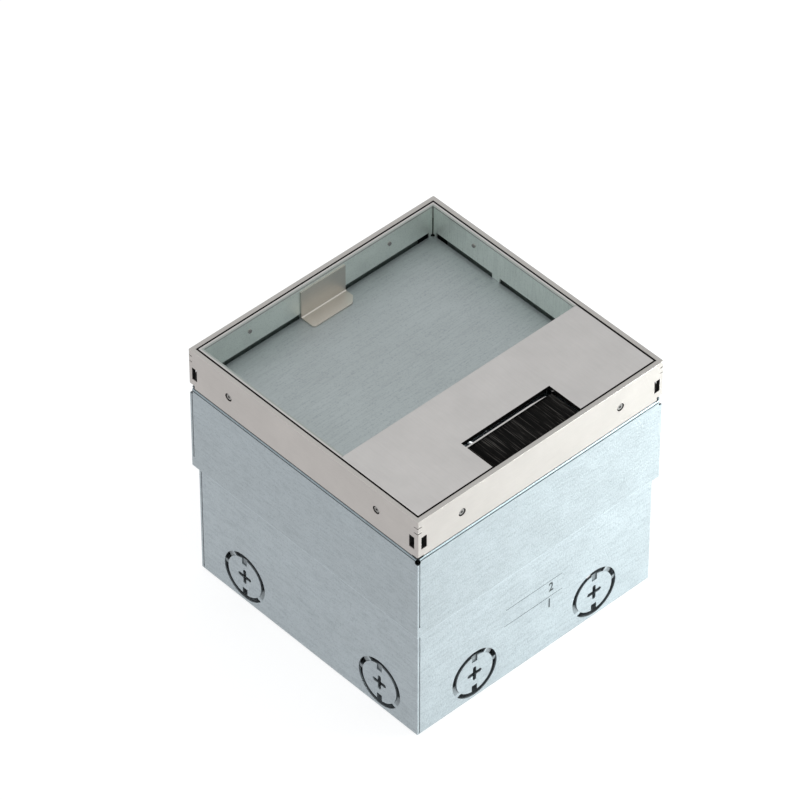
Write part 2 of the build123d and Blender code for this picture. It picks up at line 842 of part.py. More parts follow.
def earth_clips(x, y):
    """Two spring strips in the slots of the recess wall."""
    outer = socket_bore_radius + clip_slot_depth - earth_clip_gap
    z0 = socket_floor
    lip_foot = z0 + earth_clip_height - earth_clip_lip_drop
    found = []
    for side in (-1, 1):
        ys = (y + side * outer, y + side * (outer - earth_clip_sheet))
        half = earth_clip_width / 2
        clip = block(x - half, x + half, min(ys), max(ys), z0, z0 + earth_clip_height)
        lip = (y + side * (outer - earth_clip_sheet), y + side * (outer - earth_clip_lip))
        clip += block(x - half, x + half, min(lip), max(lip), lip_foot, lip_foot + earth_clip_sheet)
        found.append(clip)
    return found


def centre_screws():
    """One screw in the middle of each socket recess."""
    found = []
    for x, y in socket_places():
        screw = rod(x, y, socket_floor - centre_screw_length, socket_floor, centre_screw_radius)
        screw += rod(x, y, socket_floor, socket_floor + centre_screw_head_length, centre_screw_head)
        found.append(screw - small_slot(x, y, socket_floor + centre_screw_head_length))
    return found


def block_places():
    """Middles of the poles of the terminal block."""
    start = -(block_poles - 1) * block_pitch / 2
    return [start + i * block_pitch for i in range(block_poles)]


def terminal_block():
    """Row of wire terminals on the base of the box."""
    half = block_width / 2
    top = box_sheet + block_height
    body = block(block_x - half, block_x + half, -block_length / 2, block_length / 2, box_sheet, top)
    for y in block_places():
        body -= rod(block_x, y, top - block_well_depth, top + 1, block_screw_radius + block_screw_fit)
        tunnel = Pos(block_x, y, box_sheet + block_hole_height) * Rot(0, 90, 0)
        body -= tunnel * Cylinder(block_hole_radius, block_width + 2)
    return body


def terminal_screws():
    """One clamping screw in each pole."""
    top = box_sheet + block_height
    found = []
    for y in block_places():
        screw = rod(block_x, y, top - block_well_depth, top - block_screw_sink, block_screw_radius)
        found.append(screw - small_slot(block_x, y, top - block_screw_sink))
    return found


def earth_stud():
    """Stud welded to the base of the box."""
    return rod(earth_x, earth_y, box_sheet, box_sheet + earth_length, earth_radius)


def earth_washers():
    """Two washers on the earth stud."""
    found = []
    for i in range(2):
        z = box_sheet + i * earth_washer_sheet
        washer = rod(earth_x, earth_y, z, z + earth_washer_sheet, earth_washer_radius)
        found.append(washer - rod(earth_x, earth_y, z - 1, z + 3, earth_radius + stud_fit))
    return found


def earth_nut():
    """Hexagon nut on the earth stud."""
    z = box_sheet + 2 * earth_washer_sheet
    hexagon = RegularPolygon(earth_nut_flats / 2, 6, major_radius=False)
    nut = extrude(Pos(earth_x, earth_y, z) * hexagon, earth_nut_height)
    return nut - rod(earth_x, earth_y, z - 1, z + earth_nut_height + 1, earth_radius + stud_fit)


def cable_clamps():
    """Two saddles on the base, one inside each front knockout."""
    outer = saddle_inner + saddle_sheet
    y0 = saddle_y - saddle_width / 2
    y1 = saddle_y + saddle_width / 2
    found = []
    for side in (-1, 1):
        x = side * knock_front_offset
        arch = rod_y(x, y0, y1, box_sheet + saddle_inner, outer)
        arch += block(x - outer, x + outer, y0, y1, box_sheet, box_sheet + saddle_inner)
        arch -= rod_y(x, y0 - 1, y1 + 1, box_sheet + saddle_inner, saddle_inner)
        arch -= block(x - saddle_inner, x + saddle_inner, y0 - 1, y1 + 1, box_sheet - 1, box_sheet + saddle_inner)
        arch -= block(x - 40, x + 40, y0 - 1, y1 + 1, -40, box_sheet)
        for foot in (-1, 1):
            near = x + foot * outer
            far = x + foot * (outer + saddle_foot)
            arch += block(min(near, far), max(near, far), y0, y1, box_sheet, box_sheet + saddle_sheet)
        for hole_x in saddle_screw_places(x):
            arch -= rod(hole_x, saddle_y, box_sheet - 1, box_sheet + saddle_sheet + 1,
                        saddle_screw_radius + stud_fit)
        found.append(arch)
    return found


def saddle_screw_places(x):
    """Screws through the feet of one saddle."""
    away = saddle_inner + saddle_sheet + saddle_foot / 2
    return [x - away, x + away]


def cable_clamp_screws():
    """Screws of the two saddles."""
    z = box_sheet + saddle_sheet
    found = []
    for side in (-1, 1):
        for x in saddle_screw_places(side * knock_front_offset):
            screw = rod(x, saddle_y, box_sheet, z, saddle_screw_radius)
            screw += rod(x, saddle_y, z, z + saddle_screw_head_length, saddle_screw_head)
            found.append(screw - small_slot(x, saddle_y, z + saddle_screw_head_length))
    return found


os.makedirs("parts", exist_ok=True)

write("lower_box", lower_box())
write("clamp_studs", quarter_turns(clamp_stud()))
write("clamp_nuts", quarter_turns(clamp_nut()))
write("height_sleeve", height_sleeve())
strap_names = ["front", "right", "rear", "left"]
for strap_name, strap in zip(strap_names, quarter_turns(height_strap())):
    write("height_strap_" + strap_name, strap)
write("flange_nuts", flange_nuts())

write("trim_frame", trim_frame())
write("frame_seal", frame_seal())
write("support_ledge", support_ledge())
write("side_screws", side_screws())
write("corner_connectors", corner_connectors())
write("ledge_gasket", ledge_gasket())
for i, (x, y) in enumerate(corners(level_place)):
    write("levelling_screw_" + str(i + 1), levelling_screw(x, y))
    write("retaining_clip_" + str(i + 1), retaining_clip(x, y))

write("lid_tray", lid_tray())
write("lid_rim", lid_rim())
write("rim_rivets", rim_rivets())
write("cover_plate", cover_plate())
write("plate_stiffeners", plate_stiffeners())
write("brush_holder", brush_holder())
write("brush_bristles", brush_bristles())
write("lifting_tab", lifting_tab())

write("device_carrier", device_carrier())
write("carrier_bracket_left", carrier_bracket(-1))
write("carrier_bracket_right", carrier_bracket(1))
write("carrier_screws", carrier_screws())
for i, (x, y) in enumerate(socket_places()):
    write("socket_insert_" + str(i + 1), socket_insert(x, y))
    write("socket_contacts_" + str(i + 1), socket_contacts(x, y))
    write("earth_clips_" + str(i + 1), earth_clips(x, y))
write("centre_screws", centre_screws())
write("terminal_block", terminal_block())
write("terminal_screws", terminal_screws())
write("earth_stud", earth_stud())
write("earth_washers", earth_washers())
write("earth_nut", earth_nut())
write("cable_clamps", cable_clamps())
write("cable_clamp_screws", cable_clamp_screws())
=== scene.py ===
# %% [markdown]
# # A floor socket box in galvanised and stainless steel
# The box is folded from zinc-coated sheet, and only its rim and cover are
# stainless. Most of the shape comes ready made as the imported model, so this
# lesson is about finishes, light and the few pieces that are too fine for the
# model: the bristles of the cable outlet and the height marks on the side.

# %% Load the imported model
import math
import random

import bmesh
import bpy
from mathutils import Matrix, Vector


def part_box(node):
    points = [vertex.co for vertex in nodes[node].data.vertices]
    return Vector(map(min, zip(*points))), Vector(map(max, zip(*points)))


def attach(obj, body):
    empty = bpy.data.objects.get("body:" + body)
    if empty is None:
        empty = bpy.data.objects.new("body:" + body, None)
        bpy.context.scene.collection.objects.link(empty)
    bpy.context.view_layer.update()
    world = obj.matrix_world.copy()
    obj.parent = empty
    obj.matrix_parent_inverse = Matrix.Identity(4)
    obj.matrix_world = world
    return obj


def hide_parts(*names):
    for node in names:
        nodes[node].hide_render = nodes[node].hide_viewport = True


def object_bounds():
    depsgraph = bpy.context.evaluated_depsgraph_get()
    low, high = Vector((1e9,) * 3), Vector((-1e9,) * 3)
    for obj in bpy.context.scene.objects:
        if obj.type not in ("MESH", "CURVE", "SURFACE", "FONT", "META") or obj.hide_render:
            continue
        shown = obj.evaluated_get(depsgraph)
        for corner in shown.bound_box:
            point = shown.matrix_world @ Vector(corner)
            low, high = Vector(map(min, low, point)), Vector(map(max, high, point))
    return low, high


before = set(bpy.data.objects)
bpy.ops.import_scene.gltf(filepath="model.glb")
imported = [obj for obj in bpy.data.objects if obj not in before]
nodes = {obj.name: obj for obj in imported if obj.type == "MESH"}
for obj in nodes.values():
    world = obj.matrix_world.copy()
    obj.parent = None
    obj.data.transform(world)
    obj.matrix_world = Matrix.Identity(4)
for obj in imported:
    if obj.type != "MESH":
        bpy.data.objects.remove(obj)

cad_low, cad_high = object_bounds()
print("nodes:", len(nodes), "box from", tuple(cad_low), "to", tuple(cad_high))

# %% [markdown]
# ## The camera
# The picture was taken from far away with a long lens, from above one corner,
# so the upright edges stay nearly parallel. Aiming a camera by its direction
# keeps the numbers readable: where it stands, which way it looks and how long
# the lens is.

# %% Camera
CAMERA_PLACE = Vector((-1.7951, -1.9072, 2.6729))
CAMERA_TURN = math.radians(47.07)
CAMERA_DROP = math.radians(43.95)
CAMERA_LENS = 273.64

camera_data = bpy.data.cameras.new("camera")
camera_data.sensor_width = 36.0
camera_data.lens = CAMERA_LENS
camera_data.clip_end = 50.0
camera = bpy.data.objects.new("camera", camera_data)
bpy.context.scene.collection.objects.link(camera)
look = Vector((math.cos(CAMERA_TURN) * math.cos(CAMERA_DROP),
               math.sin(CAMERA_TURN) * math.cos(CAMERA_DROP),
               -math.sin(CAMERA_DROP)))
camera.location = CAMERA_PLACE
camera.rotation_euler = look.to_track_quat("-Z", "Y").to_euler()
bpy.context.scene.camera = camera
print("camera looks along", tuple(round(v, 3) for v in look))

# %% [markdown]
# ## World, floor and lamps
# Bare metal has hardly any colour of its own: it shows what is around it. A
# white world that the camera and every reflection see gives the clean look of
# a product picture, while diffuse light stays lower, so nothing burns out.

# %% World
world = bpy.data.worlds.new("studio")
bpy.context.scene.world = world
world.use_nodes = True
tree = world.node_tree
tree.nodes.clear()
out = tree.nodes.new("ShaderNodeOutputWorld")
seen = tree.nodes.new("ShaderNodeBackground")
seen.inputs["Color"].default_value = (1.0, 1.0, 1.0, 1.0)
seen.inputs["Strength"].default_value = 1.0
soft = tree.nodes.new("ShaderNodeBackground")
soft.inputs["Color"].default_value = (0.94, 0.97, 1.0, 1.0)
soft.inputs["Strength"].default_value = 0.55
path = tree.nodes.new("ShaderNodeLightPath")
either = tree.nodes.new("ShaderNodeMath")
either.operation = "MAXIMUM"
tree.links.new(path.outputs["Is Camera Ray"], either.inputs[0])
tree.links.new(path.outputs["Is Glossy Ray"], either.inputs[1])
any_of = tree.nodes.new("ShaderNodeMath")
any_of.operation = "MAXIMUM"
tree.links.new(either.outputs[0], any_of.inputs[0])
tree.links.new(path.outputs["Is Transmission Ray"], any_of.inputs[1])
mix = tree.nodes.new("ShaderNodeMixShader")
tree.links.new(any_of.outputs[0], mix.inputs[0])
tree.links.new(soft.outputs[0], mix.inputs[1])
tree.links.new(seen.outputs[0], mix.inputs[2])
tree.links.new(mix.outputs[0], out.inputs["Surface"])
bpy.context.scene.view_settings.view_transform = "Standard"
print("world ready")

# %% [markdown]
# The floor is one large pale sheet. The camera and reflections see it with a
# glow of its own and a little paint on top, which together read as white and
# still keep the soft shadow under the box. The light that it throws back on
# the box comes from plain paint.

# %% Floor
floor_mesh = bpy.data.meshes.new("floor")
bm = bmesh.new()
bmesh.ops.create_grid(bm, x_segments=1, y_segments=1, size=6.0)
bmesh.ops.translate(bm, verts=bm.verts, vec=(0.0, 0.0, cad_low[2] - 0.0004))
bm.to_mesh(floor_mesh)
bm.free()
floor = bpy.data.objects.new("floor", floor_mesh)
bpy.context.scene.collection.objects.link(floor)
floor_paint = bpy.data.materials.new("floor_paint")
floor_paint.use_nodes = True
tree = floor_paint.node_tree
tree.nodes.clear()
out = tree.nodes.new("ShaderNodeOutputMaterial")
paint = tree.nodes.new("ShaderNodeBsdfDiffuse")
paint.inputs["Color"].default_value = (0.86, 0.86, 0.86, 1.0)
thin_paint = tree.nodes.new("ShaderNodeBsdfDiffuse")
thin_paint.inputs["Color"].default_value = (0.34, 0.34, 0.34, 1.0)
glow = tree.nodes.new("ShaderNodeEmission")
glow.inputs["Color"].default_value = (1.0, 1.0, 1.0, 1.0)
glow.inputs["Strength"].default_value = 0.78
shown = tree.nodes.new("ShaderNodeAddShader")
tree.links.new(thin_paint.outputs[0], shown.inputs[0])
tree.links.new(glow.outputs[0], shown.inputs[1])
path = tree.nodes.new("ShaderNodeLightPath")
either = tree.nodes.new("ShaderNodeMath")
either.operation = "MAXIMUM"
tree.links.new(path.outputs["Is Camera Ray"], either.inputs[0])
tree.links.new(path.outputs["Is Glossy Ray"], either.inputs[1])
mix = tree.nodes.new("ShaderNodeMixShader")
tree.links.new(either.outputs[0], mix.inputs[0])
tree.links.new(paint.outputs[0], mix.inputs[1])
tree.links.new(shown.outputs[0], mix.inputs[2])
tree.links.new(mix.outputs[0], out.inputs["Surface"])
floor_mesh.materials.append(floor_paint)
print("floor at", round(cad_low[2], 4))

# %% [markdown]
# Two lamps do the rest. A small one stands low, at half the height of the
# box, and brightens the wall on the right of the picture. A large one high
# above evens out the top without a bright patch.

# %% Lamps


def lamp(name, place, target, size, power, color):
    """A rectangular lamp that looks at a target."""
    data = bpy.data.lights.new(name, "AREA")
    data.shape = "RECTANGLE"
    data.size = size[0]
    data.size_y = size[1]
    data.energy = power
    data.color = color
    obj = bpy.data.objects.new(name, data)
    bpy.context.scene.collection.objects.link(obj)
    obj.location = place
    aim = Vector(target) - Vector(place)
    obj.rotation_euler = aim.to_track_quat("-Z", "Y").to_euler()


lamp("key_lamp", place=(0.60, -0.58, 0.10), target=(0.0, 0.0, 0.10), size=(0.45, 0.165),
     power=10.8, color=(0.92, 1.0, 0.985))
lamp("top_lamp", place=(-0.3, 0.2, 2.2), target=(0.0, 0.0, 0.15), size=(2.8, 2.8),
     power=17.0, color=(1.0, 1.0, 1.0))

# %% [markdown]
# ## Finishes
# Each finish starts from one Principled shader. Fine noise, stretched along
# the way the sheet was rolled or brushed, drives the colour, the roughness
# and a very low bump. The stretch is what turns plain noise into grain.

# %% Helpers for the finishes


def new_finish(name, metallic, roughness):
    """A Principled material, with its node tree and its shader."""
    material = bpy.data.materials.new(name)
    material.use_nodes = True
    tree = material.node_tree
    shader = tree.nodes["Principled BSDF"]
    shader.inputs["Metallic"].default_value = metallic
    shader.inputs["Roughness"].default_value = roughness
    return material, tree, shader


def stretched_noise(tree, stretch, scale, detail=4.0, roughness=0.55):
    """Noise on object coordinates, stretched by a scale for each axis."""
    coords = tree.nodes.new("ShaderNodeTexCoord")
    mapping = tree.nodes.new("ShaderNodeMapping")
    mapping.inputs["Scale"].default_value = stretch
    noise = tree.nodes.new("ShaderNodeTexNoise")
    noise.inputs["Scale"].default_value = scale
    noise.inputs["Detail"].default_value = detail
    noise.inputs["Roughness"].default_value = roughness
    tree.links.new(coords.outputs["Object"], mapping.inputs["Vector"])
    tree.links.new(mapping.outputs["Vector"], noise.inputs["Vector"])
    return noise.outputs["Fac"]


def ramp(tree, source, stops):
    """Colours along a value, as (position, colour) pairs."""
    node = tree.nodes.new("ShaderNodeValToRGB")
    elements = node.color_ramp.elements
    elements[0].position, elements[0].color = stops[0][0], (*stops[0][1], 1.0)
    elements[1].position, elements[1].color = stops[-1][0], (*stops[-1][1], 1.0)
    for position, color in stops[1:-1]:
        elements.new(position).color = (*color, 1.0)
    tree.links.new(source, node.inputs["Fac"])
    return node.outputs["Color"]


def mixed(tree, first, second, factor, mode="MIX"):
    """Two colours mixed by a fixed share or another value."""
    node = tree.nodes.new("ShaderNodeMix")
    node.data_type = "RGBA"
    node.blend_type = mode
    node.clamp_factor = True
    for socket, color in (("A", first), ("B", second)):
        target = [s for s in node.inputs if s.name == socket and s.type == "RGBA"][0]
        if isinstance(color, tuple):
            target.default_value = (*color, 1.0)
        else:
            tree.links.new(color, target)
    share = [s for s in node.inputs if s.name == "Factor" and s.type == "VALUE"][0]
    if isinstance(factor, float):
        share.default_value = factor
    else:
        tree.links.new(factor, share)
    return [s for s in node.outputs if s.type == "RGBA"][0]


def remap(tree, source, low, high):
    """A value from 0..1 brought between two others."""
    node = tree.nodes.new("ShaderNodeMapRange")
    node.inputs["To Min"].default_value = low
    node.inputs["To Max"].default_value = high
    tree.links.new(source, node.inputs["Value"])
    return node.outputs["Result"]


def bump(tree, shader, height, distance):
    """A very low relief, at full strength."""
    node = tree.nodes.new("ShaderNodeBump")
    node.inputs["Distance"].default_value = distance
    node.inputs["Strength"].default_value = 1.0
    tree.links.new(height, node.inputs["Height"])
    tree.links.new(node.outputs["Normal"], shader.inputs["Normal"])


def value(tree, operation, first, second=0.0):
    """One sum or comparison on numbers or on values from other nodes."""
    node = tree.nodes.new("ShaderNodeMath")
    node.operation = operation
    for i, source in enumerate((first, second)):
        if isinstance(source, float):
            node.inputs[i].default_value = source
        else:
            tree.links.new(source, node.inputs[i])
    return node.outputs["Value"]


def axes(tree):
    """Object coordinates as three values."""
    coords = tree.nodes.new("ShaderNodeTexCoord")
    parts = tree.nodes.new("ShaderNodeSeparateXYZ")
    tree.links.new(coords.outputs["Object"], parts.inputs["Vector"])
    return parts.outputs["X"], parts.outputs["Y"], parts.outputs["Z"]


def between(tree, source, low, high):
    """1 where a value lies between two others, otherwise 0."""
    over = value(tree, "GREATER_THAN", source, low)
    return value(tree, "MULTIPLY", over, value(tree, "LESS_THAN", source, high))


# Margins in metres that keep a mask off the faces next to it
FACE_MARGIN = 0.00005
FOOT_MARGIN = 0.0022
OUTER_MARGIN = 0.0003
OUTLET_MARGIN = 0.0004
SEAM_MARGIN = 0.0001

# Height in metres of the relief on smooth metal and on moulded surfaces
METAL_RELIEF = 0.00002
MOULDED_RELIEF = 0.00004

# What a depth in metres is multiplied by for the ramp of painted shade, and the tones along it
CUT_SHADE_SCALE = 500.0
CUT_SHADE_TONES = [(0.10, 1.0), (0.16, 0.66), (0.60, 0.42), (0.70, 0.12), (0.735, 0.12), (0.746, 1.0)]


def height_of(tree):
    """The height of the surface."""
    return axes(tree)[2]


def depth_from_side(tree, name):
    """How far a surface lies inside the outer faces of a square part."""
    x, y = axes(tree)[:2]
    reach = value(tree, "MAXIMUM", value(tree, "ABSOLUTE", x), value(tree, "ABSOLUTE", y))
    return value(tree, "SUBTRACT", float(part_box(name)[1][0]), reach)


def cut_edges(tree, name, sheet, seam):
    """1 inside the sheet of a square part, such as on the sides of a slot, and down a seam."""
    low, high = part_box(name)
    depth = depth_from_side(tree, name)
    height = height_of(tree)
    in_sheet = value(tree, "LESS_THAN", depth, sheet - FACE_MARGIN)
    in_seam = value(tree, "GREATER_THAN", height, float(high[2]) - seam)
    inside = value(tree, "MULTIPLY", value(tree, "GREATER_THAN", depth, OUTER_MARGIN),
                   value(tree, "MAXIMUM", in_sheet, in_seam))
    band = between(tree, height, float(low[2]), float(high[2]) - FACE_MARGIN)
    return value(tree, "MULTIPLY", inside, band)


def cut_tone(tree, name):
    """A painted shade that darkens through the sheet of a box wall and ends at its inner face."""
    scaled = value(tree, "MULTIPLY", depth_from_side(tree, name), CUT_SHADE_SCALE)
    return ramp(tree, scaled, [(place, (tone, tone, tone)) for place, tone in CUT_SHADE_TONES])


def cut_in_band(name):
    """The heights of a part between its bent foot and its top."""
    low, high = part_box(name)
    return float(low[2]) + FOOT_MARGIN, float(high[2]) - FACE_MARGIN


def above(tree, height):
    """1 where the surface lies above a height, otherwise 0."""
    return value(tree, "GREATER_THAN", height_of(tree), float(height))


def side_band(tree, name, seam):
    """1 on faces just below the top of a part, otherwise 0."""
    top = float(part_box(name)[1][2])
    return between(tree, height_of(tree), top - seam, top - FACE_MARGIN)


def outlet_side(tree, name, seam, reach):
    """1 on the sides of the cable outlet in the plate, otherwise 0."""
    off_front = value(tree, "GREATER_THAN", depth_from_side(tree, name), OUTLET_MARGIN)
    near_front = value(tree, "LESS_THAN", axes(tree)[1], float(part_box(name)[0][1]) + reach)
    inside = value(tree, "MULTIPLY", near_front, off_front)
    return value(tree, "MULTIPLY", inside, side_band(tree, name, seam))


def seam_side(tree, name, seam):
    """1 on the upper part of the outer faces of a square part, below its top."""
    outermost = value(tree, "LESS_THAN", depth_from_side(tree, name), SEAM_MARGIN)
    return value(tree, "MULTIPLY", side_band(tree, name, seam), outermost)


def inner_lip(tree, name, width):
    """1 on the top of a ring, further in than the sheet of its rim."""
    top = above(tree, float(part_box(name)[1][2]) - FACE_MARGIN)
    further_in = value(tree, "GREATER_THAN", depth_from_side(tree, name), width)
    return value(tree, "MULTIPLY", top, further_in)


def finish_nodes(material, names):
    """Give CAD nodes their finish."""
    for name in names:
        slots = nodes[name].material_slots
        if slots:
            slots[0].material = material
        else:
            nodes[name].data.materials.append(material)
    print(material.name, "on", len(names), "nodes")


# %% [markdown]
# ### Galvanised sheet
# Hot-dip zinc on thin sheet is pale blue-grey, with faint rolling lines and
# soft cloudy patches where the zinc cooled. Coarse clouds, fine lines and a
# sprinkle of tiny specks are layered in that order. On top of them comes
# painted shade, which deepens through the sheet on the sides of slots and
# dents and lies in the scored groove and on the bend under the frame. A
# painted highlight runs along the sleeve's lower edge, and the tray walls are
# painted lighter where the low lamp falls on them.

# %% Galvanised sheet
# Tones that the colour of the sheet is multiplied by
UNCHANGED = (1.0, 1.0, 1.0)
STREAK_TONE = (0.76, 0.77, 0.78)
GRIT_TONE = (0.70, 0.71, 0.73)
# Painted light: the walls of the tray are made lighter than its floor, where the low lamp falls on
# them
WALL_PAINTED_LIGHT = (1.95, 1.93, 1.80)
# Painted shade in the scored groove and on the bend of the sleeve under the frame
GROOVE_PAINTED_SHADE = (0.42, 0.45, 0.46)
BEND_PAINTED_SHADE = (0.80, 0.86, 0.88)
# Painted highlight along the lower edge of the sleeve
FOOT_PAINTED_HIGHLIGHT = (1.22, 1.22, 1.22)


def galvanised(name, color, along, roughness=0.44, metallic=0.5, shade_cuts_in=None, walls_painted_lighter_over=None,
               groove=None, foot=None, grain=0.00032, wear=0.95):
    """Zinc-coated sheet: painted shade in cuts, grooves and bends, painted light on tray walls and at
    a foot.
    """
    material, tree, shader = new_finish(name, metallic, roughness)
    lines = stretched_noise(tree, along, 1.0, 3.0)
    clouds = stretched_noise(tree, (1.0, 1.0, 1.0), 40.0, 5.0, 0.6)
    specks = stretched_noise(tree, (1.0, 1.0, 1.0), 900.0, 2.0)
    dark = tuple(v * 0.95 for v in color)
    light = tuple(min(1.0, v * 1.04) for v in color)
    base = ramp(tree, clouds, [(0.30, dark), (0.70, light)])
    streaks = ramp(tree, lines, [(0.30, STREAK_TONE), (0.56, UNCHANGED)])
    grit = ramp(tree, specks, [(0.30, GRIT_TONE), (0.48, UNCHANGED)])
    base = mixed(tree, base, streaks, 0.60 * wear, "MULTIPLY")
    base = mixed(tree, base, grit, 0.65 * wear, "MULTIPLY")
    # Painted light: tray walls lighter than the tray floor
    if walls_painted_lighter_over:
        base = mixed(tree, base, WALL_PAINTED_LIGHT, above(tree, walls_painted_lighter_over), "MULTIPLY")
    # Painted shade in the groove and on the bend under the frame
    if groove:
        groove_low, groove_high, bend_high = groove
        groove_shade = between(tree, height_of(tree), groove_low, groove_high)
        bend_shade = between(tree, height_of(tree), groove_high, bend_high)
        base = mixed(tree, base, GROOVE_PAINTED_SHADE, groove_shade, "MULTIPLY")
        base = mixed(tree, base, BEND_PAINTED_SHADE, bend_shade, "MULTIPLY")
    # Painted highlight along the lower edge
    if foot:
        foot_highlight = value(tree, "LESS_THAN", height_of(tree), foot)
        base = mixed(tree, base, FOOT_PAINTED_HIGHLIGHT, foot_highlight, "MULTIPLY")
    # Painted shade that deepens through the sheet of slots and dents
    if shade_cuts_in:
        band = between(tree, height_of(tree), *cut_in_band(shade_cuts_in))
        base = mixed(tree, base, cut_tone(tree, shade_cuts_in), band, "MULTIPLY")
    tree.links.new(base, shader.inputs["Base Color"])
    tree.links.new(remap(tree, clouds, roughness - 0.07, roughness + 0.07), shader.inputs["Roughness"])
    bump(tree, shader, mixed(tree, lines, specks, 0.5), grain)
    return material


# Noise scales along x, y and z, which set the way the grain runs
UPRIGHT_LINES = (110.0, 110.0, 560.0)
FLAT_LINES = (60.0, 1300.0, 60.0)

# Heights in metres over the bottom, or under the top, of a piece
TRAY_BEND = 0.0017
FOOT_HIGHLIGHT_LINE = 0.0008
GROOVE_START = 0.0030
GROOVE_END = 0.0020

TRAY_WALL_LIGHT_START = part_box("lid_tray")[0][2] + TRAY_BEND
SLEEVE_TOP = float(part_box("height_sleeve")[1][2])
SLEEVE_HIGHLIGHT_TOP = float(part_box("height_sleeve")[0][2]) + FOOT_HIGHLIGHT_LINE
GROOVE_AND_BEND_SHADE = (SLEEVE_TOP - GROOVE_START, SLEEVE_TOP - GROOVE_END, SLEEVE_TOP - FACE_MARGIN)
BOX_COLOR = (0.455, 0.506, 0.532)
SLEEVE_COLOR = (0.430, 0.478, 0.502)
zinc_box = galvanised("galvanised_box", BOX_COLOR, UPRIGHT_LINES, shade_cuts_in="lower_box")
zinc_sleeve = galvanised("galvanised_sleeve", SLEEVE_COLOR, UPRIGHT_LINES, shade_cuts_in="height_sleeve",
                         groove=GROOVE_AND_BEND_SHADE, foot=SLEEVE_HIGHLIGHT_TOP)
zinc_tray = galvanised("galvanised_tray", (0.358, 0.396, 0.400), FLAT_LINES, metallic=0.6,
                       walls_painted_lighter_over=TRAY_WALL_LIGHT_START, grain=0.00004, wear=0.75)
zinc_plain = galvanised("galvanised_inside", (0.39, 0.43, 0.44), UPRIGHT_LINES)
finish_nodes(zinc_box, ["lower_box"])
finish_nodes(zinc_sleeve, ["height_sleeve"])
finish_nodes(zinc_tray, ["lid_tray"])
finish_nodes(zinc_plain, ["height_strap_front", "height_strap_right", "height_strap_rear",
                          "height_strap_left", "device_carrier", "carrier_bracket_left",
                          "carrier_bracket_right", "plate_stiffeners", "cable_clamps"])

# %% [markdown]
# ### Stainless steel
# The plate is a warm, nearly even grey with a very fine brushing. The frame
# is brushed along each side, which on upright faces means level lines.

# %% Stainless steel


def stainless(name, color, along, roughness=0.33, metallic=0.92, top=None, shades=()):
    """Brushed steel, with a painted shade on a top edge and another colour on each of some other
    places.
    """
    material, tree, shader = new_finish(name, metallic, roughness)
    lines = stretched_noise(tree, along, 1.0, 3.0)
    clouds = stretched_noise(tree, (1.0, 1.0, 1.0), 38.0, 4.0, 0.6)
    dark = tuple(v * 0.955 for v in color)
    light = tuple(min(1.0, v * 1.04) for v in color)
    base = ramp(tree, clouds, [(0.30, dark), (0.70, light)])
    # Painted shade on the top face
    if top:
        base = mixed(tree, base, top[1], above(tree, top[0]))
    brushing = ramp(tree, lines, [(0.32, (0.90, 0.90, 0.90)), (0.60, (1.0, 1.0, 1.0))])
    base = mixed(tree, base, brushing, 0.35, "MULTIPLY")
    for shade, mask, *details in shades:
        base = mixed(tree, base, shade, mask(tree, *details))
    tree.links.new(base, shader.inputs["Base Color"])
    tree.links.new(remap(tree, lines, roughness - 0.04, roughness + 0.05), shader.inputs["Roughness"])
    bump(tree, shader, lines, METAL_RELIEF)
    return material


# Sheets and depths in metres
FRAME_WALL = 0.0031
RIM_SHEET = 0.0011
SEAM_SHADE_DEPTH = 0.0016
OUTLET_SHADE_DEPTH = 0.00295
OUTLET_SHADE_REACH = 0.0268
HOLDER_SHADE_SIDE = 0.00695
FRAME_TOP = cad_high[2] - FACE_MARGIN

PLATE_COLOR = (0.468, 0.457, 0.448)
PLATE_LINES = (900.0, 60.0, 60.0)
FRAME_COLOR = (0.527, 0.489, 0.461)
# The top face of the frame is painted a darker shade than its sides
FRAME_TOP_PAINTED_SHADE = (0.46, 0.44, 0.415)
FRAME_LINES = (60.0, 60.0, 1200.0)
TAB_COLOR = (0.54, 0.52, 0.475)
TAB_LINES = (60.0, 60.0, 900.0)
# Painted shade on the sides of seams, of the cable outlet and of the brush holder, and inside the
# frame's sheet and seam
EDGE_PAINTED_SHADE = (0.055, 0.052, 0.050)
LIP_SHADE = (0.30, 0.33, 0.31)
steel_plate = stainless("stainless_plate", PLATE_COLOR, PLATE_LINES,
                        shades=[(EDGE_PAINTED_SHADE, seam_side, "cover_plate", SEAM_SHADE_DEPTH),
                                (EDGE_PAINTED_SHADE, outlet_side, "cover_plate", OUTLET_SHADE_DEPTH, OUTLET_SHADE_REACH)])
steel_rim = stainless("stainless_rim", PLATE_COLOR, PLATE_LINES,
                      shades=[(EDGE_PAINTED_SHADE, seam_side, "lid_rim", SEAM_SHADE_DEPTH),
                              (LIP_SHADE, inner_lip, "lid_rim", RIM_SHEET)])
steel_holder = stainless("stainless_holder", PLATE_COLOR, PLATE_LINES,
                         shades=[(EDGE_PAINTED_SHADE, side_band, "brush_holder", HOLDER_SHADE_SIDE)])
steel_frame = stainless("stainless_frame", FRAME_COLOR, FRAME_LINES,
                        metallic=0.45, top=(FRAME_TOP, FRAME_TOP_PAINTED_SHADE),
                        shades=[(EDGE_PAINTED_SHADE, cut_edges, "trim_frame", FRAME_WALL, SEAM_SHADE_DEPTH)])
finish_nodes(steel_plate, ["cover_plate"])
finish_nodes(steel_rim, ["lid_rim"])
finish_nodes(steel_holder, ["brush_holder"])
finish_nodes(steel_frame, ["trim_frame"])
tab_steel = stainless("tab_steel", TAB_COLOR, TAB_LINES, roughness=0.38)
finish_nodes(tab_steel, ["lifting_tab"])

# %% [markdown]
# ### Fasteners, brass, plastic and foam
# The screws in the frame are dark plated steel and those inside the box are
# zinc plated. Both are smooth, with a little wear that noise brings in.

# %% Small metal finishes


